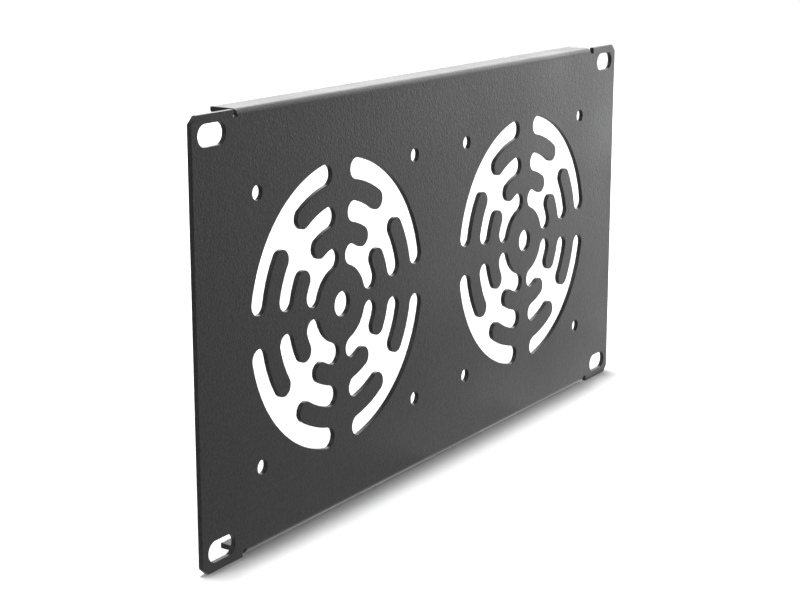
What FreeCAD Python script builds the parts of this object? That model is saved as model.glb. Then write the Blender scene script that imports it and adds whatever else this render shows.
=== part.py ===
import FreeCAD, Part
import math
import os

from FreeCAD import Vector

# Fan panel for a 10-inch rack, three units high: one sheet of steel, cut, folded and powder coated.
# The front face looks towards -Y and the panel stands on its lower flange.
# The origin is at the middle of the footprint, at the foot of the panel. All sizes are in millimetres.

# Rack sizes
rack_unit = 44.45
rack_units_high = 3
height_play = 0.85          # the panel is this much lower than the units it fills
unit_edge_pitch = 12.7      # between the two rail holes on either side of a unit's edge
panel_width = 254.0
rail_hole_inset = 8.75      # panel's end to the rail's hole row

# Sheet
sheet_thickness = 1.6       # steel with its coat
bend_inner_radius = 0.6
corner_cut = 2.3            # width and height of the bevel across each ear's corners
panel_depth = 10.0          # front face to the flanges' rear edges

# Ears and the relief cuts beside them
ear_width = 20.0            # panel's end to the flanges' ends
relief_width = 1.8
slot_length = 12.0
slot_width = 6.5

# Fans behind the panel
fan_size = 92.0
fan_count = 2
fan_gap = 23.0              # between neighbouring fans' frames
fan_hole_inset = 4.75       # fan screw hole to the frame's edge
fan_hole_diameter = 4.5

# Finger guard cut in front of each fan
guard_margin = 0.3          # guard opening inside the fan's frame
guard_hub_radius = 12.5
guard_slot_rings = 3
guard_bar_degrees = 6.8     # half the angle that a cross bar takes
guard_finger_degrees = 7.1  # from a finger's tip to the quadrant's diagonal
hub_hole_diameter = 8.0

# Worked out from the sizes above
panel_height = rack_unit * rack_units_high - height_play
rail_hole_rise = rack_unit * rack_units_high - unit_edge_pitch
rail_hole_spacing = panel_width - 2 * rail_hole_inset
flange_length = panel_width - 2 * ear_width
bend_outer_radius = bend_inner_radius + sheet_thickness
front_y = -panel_depth / 2
middle_z = panel_height / 2
fan_pitch = fan_size + fan_gap
fan_hole_spacing = fan_size - 2 * fan_hole_inset
guard_outer_radius = fan_size / 2 - guard_margin

X_AXIS = Vector(1, 0, 0)
Y_AXIS = Vector(0, 1, 0)
QUARTER_TURN = math.pi / 2
DIAGONAL = math.pi / 4


def fan_centres():
    """Middle of each fan, on the panel's front face."""
    first = -(fan_count - 1) * fan_pitch / 2
    return [Vector(first + i * fan_pitch, front_y, middle_z) for i in range(fan_count)]


def polar(radius, angle):
    """Point in the XZ plane, turned from +X towards +Z."""
    return Vector(radius * math.cos(angle), 0, radius * math.sin(angle))


def arc_about(centre, radius, start, end):
    """Arc in the XZ plane from one angle to another."""
    middle = (start + end) / 2
    points = [centre + polar(radius, angle) for angle in (start, middle, end)]
    return Part.Arc(*points).toShape()


def bevelled_rectangle(width, height, cut):
    """Face in the XZ plane about the origin, with a bevel across each corner."""
    side, top = width / 2, height / 2
    corner = [Vector(side, 0, top - cut), Vector(side - cut, 0, top)]
    left_corner = [Vector(-point.x, 0, point.z) for point in reversed(corner)]
    upper = corner + left_corner
    lower = [Vector(point.x, 0, -point.z) for point in reversed(upper)]
    return Part.Face(Part.makePolygon(upper + lower, True))


def obround(length, width):
    """Face in the XZ plane about the origin: a level slot with full round ends."""
    reach = (length - width) / 2
    right = arc_about(Vector(reach, 0, 0), width / 2, -QUARTER_TURN, QUARTER_TURN)
    left = arc_about(Vector(-reach, 0, 0), width / 2, QUARTER_TURN, 3 * QUARTER_TURN)
    top = Part.makeLine(Vector(reach, 0, width / 2), Vector(-reach, 0, width / 2))
    foot = Part.makeLine(Vector(-reach, 0, -width / 2), Vector(reach, 0, -width / 2))
    return Part.Face(Part.Wire([right, top, left, foot]))


def front_blank():
    """The flat front with its ears; between the ears it stops at the two bend lines."""
    outline = bevelled_rectangle(panel_width, panel_height, corner_cut)
    outline.translate(Vector(0, front_y, middle_z))
    blank = outline.extrude(Y_AXIS * sheet_thickness)
    strip_length = flange_length + 2 * relief_width
    strip = Part.makeBox(strip_length, sheet_thickness, bend_outer_radius)
    strip.translate(Vector(-strip_length / 2, front_y, 0))
    upper_strip = strip.translated(Vector(0, 0, panel_height - bend_outer_radius))
    return blank.cut([strip, upper_strip])


def upper_flange():
    """A quarter-turn bend at the upper bend line, then the flat flange back to its rear edge."""
    bend_line = panel_height - bend_outer_radius
    left = -flange_length / 2
    section = Part.makePlane(flange_length, sheet_thickness, Vector(left, front_y, bend_line))
    pivot = Vector(left, front_y + bend_outer_radius, bend_line)
    bend = section.revolve(pivot, X_AXIS, -math.degrees(QUARTER_TURN))
    leg_length = panel_depth - bend_outer_radius
    leg = Part.makeBox(flange_length, leg_length, sheet_thickness)
    leg.translate(Vector(left, front_y + bend_outer_radius, panel_height - sheet_thickness))
    return [bend, leg]


def folded_panel():
    """Front, ears and both flanges as one folded sheet."""
    upper = upper_flange()
    lower = [piece.mirror(Vector(0, 0, middle_z), Vector(0, 0, 1)) for piece in upper]
    return front_blank().fuse(upper + lower).removeSplitter()


def drill(diameter, place):
    """Round cutter through the front sheet at a place on the front face."""
    return Part.makeCylinder(diameter / 2, sheet_thickness, place, Y_AXIS)


def rail_slots():
    """Four level slots with full round ends, over the rails' outermost holes."""
    cutter = obround(slot_length, slot_width).extrude(Y_AXIS * sheet_thickness)
    places = []
    for x in (-rail_hole_spacing / 2, rail_hole_spacing / 2):
        for rise in (-rail_hole_rise / 2, rail_hole_rise / 2):
            places.append(Vector(x, front_y, middle_z + rise))
    return [cutter.translated(place) for place in places]


def fan_holes(centre):
    """Four screw holes on the fan's square, and the hole in the middle of the guard's hub."""
    reach = fan_hole_spacing / 2
    corners = [Vector(x, 0, z) for x in (-reach, reach) for z in (-reach, reach)]
    holes = [drill(fan_hole_diameter, centre + corner) for corner in corners]
    return holes + [drill(hub_hole_diameter, centre)]


def round_end(inner, outer, tip, body):
    """Full round end between two ring radii. It touches the ray at the tip angle.

    body is 1 where the rounded shape lies at larger angles than its tip, and -1 where at smaller.
    Returns the arc from the inner ring to the outer one, and the angle where it leaves both rings.
    """
    radius = (outer - inner) / 2
    middle = (outer + inner) / 2
    turn = tip + body * math.asin(radius / middle)
    across = polar(middle, turn) + polar(radius, turn - body * QUARTER_TURN)
    return Part.Arc(polar(inner, turn), across, polar(outer, turn)).toShape(), turn


def half_quadrant_edges(radii):
    """Edges of a quadrant opening from its inner arc out to its outer one, below the diagonal.

    The opening runs into a slot at every second ring, and round the tip of a finger between them.
    """
    slot_tip = math.radians(guard_bar_degrees)
    finger_tip = DIAGONAL - math.radians(guard_finger_degrees)
    edges = []
    previous = DIAGONAL
    for ring, (inner, outer) in enumerate(zip(radii, radii[1:])):
        tip, body = (slot_tip, 1) if ring % 2 == 0 else (finger_tip, -1)
        end, turn = round_end(inner, outer, tip, body)
        edges += [arc_about(Vector(), inner, previous, turn), end]
        previous = turn
    edges.append(arc_about(Vector(), radii[-1], previous, DIAGONAL))
    return edges


def guard_quadrant():
    """Cutter for one quadrant of the finger guard: ring slots joined by a channel along the diagonal."""
    rings = 2 * guard_slot_rings - 1
    ring_width = (guard_outer_radius - guard_hub_radius) / rings
    radii = [guard_hub_radius + i * ring_width for i in range(rings + 1)]
    lower = half_quadrant_edges(radii)
    across_diagonal = Vector(-1, 0, 1)
    upper = [edge.mirror(Vector(), across_diagonal) for edge in lower]
    outline = Part.Wire(Part.sortEdges(lower + upper)[0])
    return Part.Face(outline).extrude(Y_AXIS * sheet_thickness)


def guard_openings(centre):
    """Four quadrants about the fan's middle, with the cross bars left between them."""
    quadrant = guard_quadrant().translated(centre)
    turns = [math.degrees(i * QUARTER_TURN) for i in range(4)]
    return [quadrant.rotated(centre, Y_AXIS, turn) for turn in turns]


def fan_panel():
    """The finished sheet."""
    cutters = rail_slots()
    for centre in fan_centres():
        cutters += fan_holes(centre) + guard_openings(centre)
    return folded_panel().cut(cutters)


os.makedirs("parts", exist_ok=True)
panel = fan_panel()
box = panel.BoundBox
print("solids", len(panel.Solids), "valid", panel.isValid(), "volume", round(panel.Volume, 1))
print("size", round(box.XLength, 3), round(box.YLength, 3), round(box.ZLength, 3))
panel.exportStep("parts/fan_panel.step")
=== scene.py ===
import math

import bpy
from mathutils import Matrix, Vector


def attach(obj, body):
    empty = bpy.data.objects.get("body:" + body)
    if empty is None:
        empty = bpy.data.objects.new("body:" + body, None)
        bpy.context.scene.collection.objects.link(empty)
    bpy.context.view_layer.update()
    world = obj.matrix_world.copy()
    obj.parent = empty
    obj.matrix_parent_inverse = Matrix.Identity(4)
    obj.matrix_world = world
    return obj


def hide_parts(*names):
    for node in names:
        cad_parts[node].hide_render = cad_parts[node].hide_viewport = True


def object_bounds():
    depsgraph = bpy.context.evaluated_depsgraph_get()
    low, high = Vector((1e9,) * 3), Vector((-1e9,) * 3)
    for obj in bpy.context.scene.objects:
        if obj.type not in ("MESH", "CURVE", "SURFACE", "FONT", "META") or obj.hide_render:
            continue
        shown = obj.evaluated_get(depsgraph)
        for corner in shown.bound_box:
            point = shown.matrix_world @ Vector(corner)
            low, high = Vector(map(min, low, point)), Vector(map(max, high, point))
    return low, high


# Rack fan panel: one cut and folded steel sheet under a fine-textured black powder coat.
# Lengths are in metres. The front face looks towards -Y and the panel stands on its lower flange.

MILLIMETRE = 0.001

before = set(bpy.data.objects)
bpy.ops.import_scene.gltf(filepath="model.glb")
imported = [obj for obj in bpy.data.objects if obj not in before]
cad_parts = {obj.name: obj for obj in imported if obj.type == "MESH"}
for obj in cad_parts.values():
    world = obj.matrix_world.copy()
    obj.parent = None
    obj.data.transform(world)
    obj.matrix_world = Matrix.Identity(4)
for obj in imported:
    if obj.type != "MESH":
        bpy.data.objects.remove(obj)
cad_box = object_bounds()


# Small helpers

SRGB_LINEAR_END = 0.04045
SRGB_LINEAR_SLOPE = 12.92
SRGB_OFFSET = 0.055
SRGB_POWER = 2.4


def deselect_all():
    """Leaves nothing selected, so that an operator acts only on what is picked next."""
    bpy.ops.object.select_all(action="DESELECT")


def linear_colour(hex_colour):
    """An sRGB hex colour as linear red, green, blue and alpha."""
    linear = []
    for channel in bytes.fromhex(hex_colour[1:]):
        level = channel / 255
        if level <= SRGB_LINEAR_END:
            linear.append(level / SRGB_LINEAR_SLOPE)
        else:
            linear.append(((level + SRGB_OFFSET) / (1 + SRGB_OFFSET)) ** SRGB_POWER)
    return (*linear, 1.0)


def add_node(tree, kind, settings=None, links=None):
    """Adds a node, sets its own properties and input values, and links other nodes into it.

    An input goes by its name, or by its number where a node names several the same.
    """
    node = tree.nodes.new(kind)
    for key, value in (settings or {}).items():
        if isinstance(key, int) or key in node.inputs.keys():
            node.inputs[key].default_value = value
        else:
            setattr(node, key, value)
    for key, source in (links or {}).items():
        tree.links.new(source, node.inputs[key])
    return node


def empty_material(name):
    """A material with no nodes, and its node tree."""
    material = bpy.data.materials.new(name)
    material.use_nodes = True
    material.node_tree.nodes.clear()
    return material, material.node_tree


# Finish of the sheet

COAT_DARK = "#0d0d0e"
COAT_LIGHT = "#232324"
COAT_IOR = 1.5
COAT_SPECULAR_LEVEL = 0.3

# Roughness of the shiniest and of the dullest patches
COAT_ROUGHNESS = (0.36, 0.44)

# Width of one grain, one ripple and one patch, and the height of grains and ripples
GRAIN_WIDTH = 0.8 * MILLIMETRE
GRAIN_HEIGHT = 0.09 * MILLIMETRE
RIPPLE_WIDTH = 2.4 * MILLIMETRE
RIPPLE_HEIGHT = 0.04 * MILLIMETRE
PATCH_WIDTH = 45 * MILLIMETRE

# Finer layers in the patterns, how strongly they show in the grain, and where most values lie
PATTERN_DETAIL = 3.0
GRAIN_HARSHNESS = 0.6
GRAIN_RANGE = (0.3, 0.7)
PATCH_RANGE = (0.35, 0.65)


def powder_coated_steel():
    """Black polyester powder, sprayed dry and baked on to the steel.

    It gives the eye a dense black with a soft, sandy sheen: the melted grains leave a fine texture,
    and a slow ripple under it bends the broad highlight a little. The real grains are about
    0.2 mm across, too fine to show here, so they are drawn four times as coarse.
    """
    material, tree = empty_material("powder_coated_steel")
    place = add_node(tree, "ShaderNodeTexCoord").outputs["Object"]
    grain = add_node(tree, "ShaderNodeTexNoise",
                     {"Scale": 1 / GRAIN_WIDTH, "Detail": PATTERN_DETAIL,
                      "Roughness": GRAIN_HARSHNESS},
                     {"Vector": place})
    ripple = add_node(tree, "ShaderNodeTexNoise", {"Scale": 1 / RIPPLE_WIDTH}, {"Vector": place})
    patches = add_node(tree, "ShaderNodeTexNoise",
                       {"Scale": 1 / PATCH_WIDTH, "Detail": PATTERN_DETAIL},
                       {"Vector": place})
    tone = add_node(tree, "ShaderNodeValToRGB", None, {"Fac": grain.outputs["Fac"]})
    for stop, position, colour in zip(tone.color_ramp.elements, GRAIN_RANGE, (COAT_DARK, COAT_LIGHT)):
        stop.position = position
        stop.color = linear_colour(colour)
    gloss = add_node(tree, "ShaderNodeMapRange",
                     {"From Min": PATCH_RANGE[0], "From Max": PATCH_RANGE[1],
                      "To Min": COAT_ROUGHNESS[0], "To Max": COAT_ROUGHNESS[1]},
                     {"Value": patches.outputs["Fac"]})
    slow_relief = add_node(tree, "ShaderNodeBump", {"Distance": RIPPLE_HEIGHT},
                           {"Height": ripple.outputs["Fac"]})
    relief = add_node(tree, "ShaderNodeBump", {"Distance": GRAIN_HEIGHT},
                      {"Height": grain.outputs["Fac"], "Normal": slow_relief.outputs["Normal"]})
    coat = add_node(tree, "ShaderNodeBsdfPrincipled",
                    {"IOR": COAT_IOR, "Specular IOR Level": COAT_SPECULAR_LEVEL},
                    {"Base Color": tone.outputs["Color"], "Roughness": gloss.outputs["Result"],
                     "Normal": relief.outputs["Normal"]})
    add_node(tree, "ShaderNodeOutputMaterial", None, {"Surface": coat.outputs["BSDF"]})
    return material


# The panel

EDGE_ROUNDING = 0.2 * MILLIMETRE
EDGE_SEGMENTS = 3

# Corners closer than this are one, triangles this flat are one face, and edges this sharp were cut
MERGE_DISTANCE = 0.002 * MILLIMETRE
FLAT_WITHIN = math.radians(0.5)
CUT_EDGE_ANGLE = math.radians(50)
FLAT_FACE_WEIGHT = 100


def coated_panel(material):
    """The folded sheet with its cut edges rounded, as the coat leaves them.

    Wide faces keep their flat shading up to the rounded edges.
    """
    deselect_all()
    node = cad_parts["fan_panel"]
    node.select_set(True)
    bpy.context.view_layer.objects.active = node
    bpy.ops.object.duplicate()
    panel = bpy.context.view_layer.objects.active
    panel.name = "coated_panel"
    bpy.ops.object.mode_set(mode="EDIT")
    bpy.ops.mesh.select_all(action="SELECT")
    bpy.ops.mesh.remove_doubles(threshold=MERGE_DISTANCE)
    bpy.ops.mesh.dissolve_limited(angle_limit=FLAT_WITHIN)
    bpy.ops.object.mode_set(mode="OBJECT")
    bpy.ops.object.shade_smooth()
    bpy.ops.object.modifier_add(type="BEVEL")
    rounding = panel.modifiers[-1]
    rounding.limit_method = "ANGLE"
    rounding.angle_limit = CUT_EDGE_ANGLE
    rounding.width = EDGE_ROUNDING
    rounding.segments = EDGE_SEGMENTS
    rounding.use_clamp_overlap = False
    bpy.ops.object.modifier_apply(modifier=rounding.name)
    bpy.ops.object.modifier_add(type="WEIGHTED_NORMAL")
    flat_faces = panel.modifiers[-1]
    flat_faces.mode = "FACE_AREA"
    flat_faces.weight = FLAT_FACE_WEIGHT
    bpy.ops.object.modifier_apply(modifier=flat_faces.name)
    panel.data.materials.clear()
    panel.data.materials.append(material)
    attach(panel, "root")
    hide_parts("fan_panel")


# Studio

WHITE = "#ffffff"

# Level of the white world where it is mirrored, and where it only lights
WORLD_MIRRORED = 0.7
AMBIENT = 0.01

# The floor lies just clear of the panel's foot, and its glow lifts the shadow where it is seen
FLOOR_SIZE = 8.0
FLOOR_DROP = 0.02 * MILLIMETRE
FLOOR_COLOUR = "#f4f4f4"
FLOOR_GLOW = 0.05

# The coat mirrors a white floor, but a grey one behind the panel on its left: painted shade, seen only
# in reflections, that darkens the left-facing walls.
# Each fade goes from where the floor is white to where it is grey, along X and along Y.
FLOOR_MIRRORED = 1.0
REAR_LEFT_PAINTED_SHADE_LEVEL = 0.45
FADE_TO_LEFT = (0.1, -0.05)
FADE_TO_REAR = (-0.004, 0.01)


def mirrored_rays(tree, path):
    """1 for a ray that left a glossy surface or passed through a clear one, else 0."""
    either = add_node(tree, "ShaderNodeMath", {"operation": "MAXIMUM"},
                      {0: path.outputs["Is Glossy Ray"], 1: path.outputs["Is Transmission Ray"]})
    return either.outputs["Value"]


def mirrored_level(tree):
    """How bright the coat mirrors each place on the floor, with painted shade behind the panel on its
    left.
    """
    place = add_node(tree, "ShaderNodeTexCoord").outputs["Object"]
    ways = add_node(tree, "ShaderNodeSeparateXYZ", None, {"Vector": place}).outputs
    left = add_node(tree, "ShaderNodeMapRange",
                    {"From Min": FADE_TO_LEFT[0], "From Max": FADE_TO_LEFT[1]},
                    {"Value": ways["X"]})
    rear = add_node(tree, "ShaderNodeMapRange",
                    {"From Min": FADE_TO_REAR[0], "From Max": FADE_TO_REAR[1]},
                    {"Value": ways["Y"]})
    both = add_node(tree, "ShaderNodeMath", {"operation": "MULTIPLY"},
                    {0: left.outputs["Result"], 1: rear.outputs["Result"]})
    # Painted shade: the mirrored floor fades to grey behind the panel on its left
    level = add_node(tree, "ShaderNodeMapRange",
                     {"To Min": FLOOR_MIRRORED, "To Max": REAR_LEFT_PAINTED_SHADE_LEVEL},
                     {"Value": both.outputs["Value"]})
    return level.outputs["Result"]


def white_world():
    """White where it is seen, and dimmer where it is mirrored or only lights."""
    world = bpy.data.worlds.new("studio")
    world.use_nodes = True
    bpy.context.scene.world = world
    tree = world.node_tree
    tree.nodes.clear()
    path = add_node(tree, "ShaderNodeLightPath")
    behind = add_node(tree, "ShaderNodeMapRange", {"To Min": AMBIENT, "To Max": WORLD_MIRRORED},
                      {"Value": mirrored_rays(tree, path)})
    level = add_node(tree, "ShaderNodeMath", {"operation": "MAXIMUM"},
                     {0: path.outputs["Is Camera Ray"], 1: behind.outputs["Result"]})
    light = add_node(tree, "ShaderNodeBackground", {"Color": linear_colour(WHITE)},
                     {"Strength": level.outputs["Value"]})
    add_node(tree, "ShaderNodeOutputWorld", None, {"Surface": light.outputs["Background"]})


def white_floor():
    """A white floor that keeps the panel's shadow. The coat mirrors it as if nothing shaded it, but
    with painted shade behind the panel on its left.
    """
    material, tree = empty_material("white_studio_floor")
    path = add_node(tree, "ShaderNodeLightPath")
    paper = add_node(tree, "ShaderNodeBsdfDiffuse", {"Color": linear_colour(FLOOR_COLOUR)})
    seen = add_node(tree, "ShaderNodeMapRange", {"To Max": FLOOR_GLOW},
                    {"Value": path.outputs["Is Camera Ray"]})
    glow = add_node(tree, "ShaderNodeEmission", {"Color": linear_colour(WHITE)},
                    {"Strength": seen.outputs["Result"]})
    lit = add_node(tree, "ShaderNodeAddShader", None,
                   {0: paper.outputs["BSDF"], 1: glow.outputs["Emission"]})
    mirrored = add_node(tree, "ShaderNodeEmission", {"Color": linear_colour(WHITE)},
                        {"Strength": mirrored_level(tree)})
    surface = add_node(tree, "ShaderNodeMixShader", None,
                       {0: mirrored_rays(tree, path), 1: lit.outputs["Shader"],
                        2: mirrored.outputs["Emission"]})
    add_node(tree, "ShaderNodeOutputMaterial", None, {"Surface": surface.outputs["Shader"]})
    deselect_all()
    bpy.ops.mesh.primitive_plane_add(size=FLOOR_SIZE, location=(0, 0, -FLOOR_DROP))
    floor = bpy.context.object
    floor.name = "studio_floor"
    floor.data.materials.append(material)


# Lamps

FACING_UP = (math.pi, 0, 0)


def towards(azimuth, elevation):
    """Unit vector from the panel. Azimuth is from the front (-Y) towards +X, in degrees."""
    turn = math.radians(azimuth)
    rise = math.radians(elevation)
    return Vector((math.sin(turn) * math.cos(rise), -math.cos(turn) * math.cos(rise), math.sin(rise)))


def looking_back(direction):
    """Turn of a lamp or camera that stands in that direction and looks back."""
    return direction.to_track_quat("Z", "Y").to_euler()


def soft_box(name, location, rotation, width, height, brightness):
    """A rectangular lamp that isn't seen itself. Brightness is its surface's radiance."""
    deselect_all()
    bpy.ops.object.light_add(type="AREA", location=location, rotation=rotation)
    lamp = bpy.context.object
    lamp.name = name
    lamp.visible_camera = False
    lamp.data.shape = "RECTANGLE"
    lamp.data.size = width
    lamp.data.size_y = height
    lamp.data.energy = brightness * math.pi * width * height


def panel_lamp(name, azimuth, elevation, distance, width, height, brightness):
    """A soft box that looks at the panel's middle."""
    direction = towards(azimuth, elevation)
    middle = Vector((0, 0, (cad_box[0].z + cad_box[1].z) / 2))
    soft_box(name, middle + direction * distance, looking_back(direction), width, height, brightness)


def floor_lamp(name, x, ahead, rise, width, depth, brightness):
    """A soft box that lies on the floor, face up, and stands for the light that the floor throws back.

    Ahead is how far its middle lies in front of the panel's front face, and rise how high.
    """
    soft_box(name, (x, cad_box[0].y - ahead, rise), FACING_UP, width, depth, brightness)


def distant_light(name, azimuth, elevation, spread, level):
    """A broad light from far away. Level 1 lights a surface that faces it fully."""
    deselect_all()
    bpy.ops.object.light_add(type="SUN", rotation=looking_back(towards(azimuth, elevation)))
    lamp = bpy.context.object
    lamp.name = name
    lamp.data.angle = math.radians(spread)
    lamp.data.energy = level * math.pi


# Camera at the photograph's viewing angle

# Matched to the panel's holes and corners. Angles are in degrees, lens and sensor in millimetres.
CAMERA_AIM = Vector((-0.01820, -0.00040, 0.07132))
CAMERA_AZIMUTH = -56.45
CAMERA_ELEVATION = 12.63
CAMERA_DISTANCE = 0.5584
CAMERA_LENS = 76.02
CAMERA_SENSOR_WIDTH = 36
CAMERA_SHIFT = -0.05


def photograph_camera():
    """A camera to the left of the panel's front and a little above it."""
    direction = towards(CAMERA_AZIMUTH, CAMERA_ELEVATION)
    deselect_all()
    bpy.ops.object.camera_add(location=CAMERA_AIM + direction * CAMERA_DISTANCE,
                              rotation=looking_back(direction))
    camera = bpy.context.object
    camera.name = "camera"
    camera.data.lens = CAMERA_LENS
    camera.data.sensor_width = CAMERA_SENSOR_WIDTH
    camera.data.shift_y = CAMERA_SHIFT
    bpy.context.scene.camera = camera


photograph_camera()
white_world()
white_floor()

# Light from above and from the left
distant_light("overhead_light", azimuth=180, elevation=87.2, spread=5, level=0.80)
distant_light("left_light", azimuth=-105, elevation=40, spread=30, level=0.40)

# Soft boxes at the right, which the face mirrors more and more towards its right end
panel_lamp("right_low_box", azimuth=80, elevation=-1.5, distance=0.60,
           width=0.3, height=0.1, brightness=2.8)
panel_lamp("right_side_box", azimuth=77, elevation=11, distance=0.82,
           width=0.36, height=0.44, brightness=2.9)
panel_lamp("right_high_box", azimuth=77, elevation=30, distance=1.0,
           width=0.5, height=0.4, brightness=3.8)

# Light from the floor, on the foot of the face and along the lower bend
floor_lamp("right_floor_box", x=0.35, ahead=0.115, rise=0.003,
           width=0.36, depth=0.22, brightness=0.85)
floor_lamp("front_floor_strip", x=0.1025, ahead=0.017, rise=0.0005,
           width=0.215, depth=0.032, brightness=0.35)
floor_lamp("right_floor_strip", x=0.136, ahead=0.017, rise=0.0006,
           width=0.148, depth=0.032, brightness=0.5)
floor_lamp("bend_strip", x=0, ahead=-0.0002, rise=0.0001,
           width=0.214, depth=0.0026, brightness=0.70)
floor_lamp("right_bend_strip", x=0.068, ahead=-0.0001, rise=0.00015,
           width=0.078, depth=0.0026, brightness=0.45)

# Light on the rear
panel_lamp("rear_soft_box", azimuth=120, elevation=28, distance=1.2,
           width=0.9, height=0.5, brightness=5.7)

coated_panel(powder_coated_steel())

bpy.context.scene.view_settings.view_transform = "Standard"
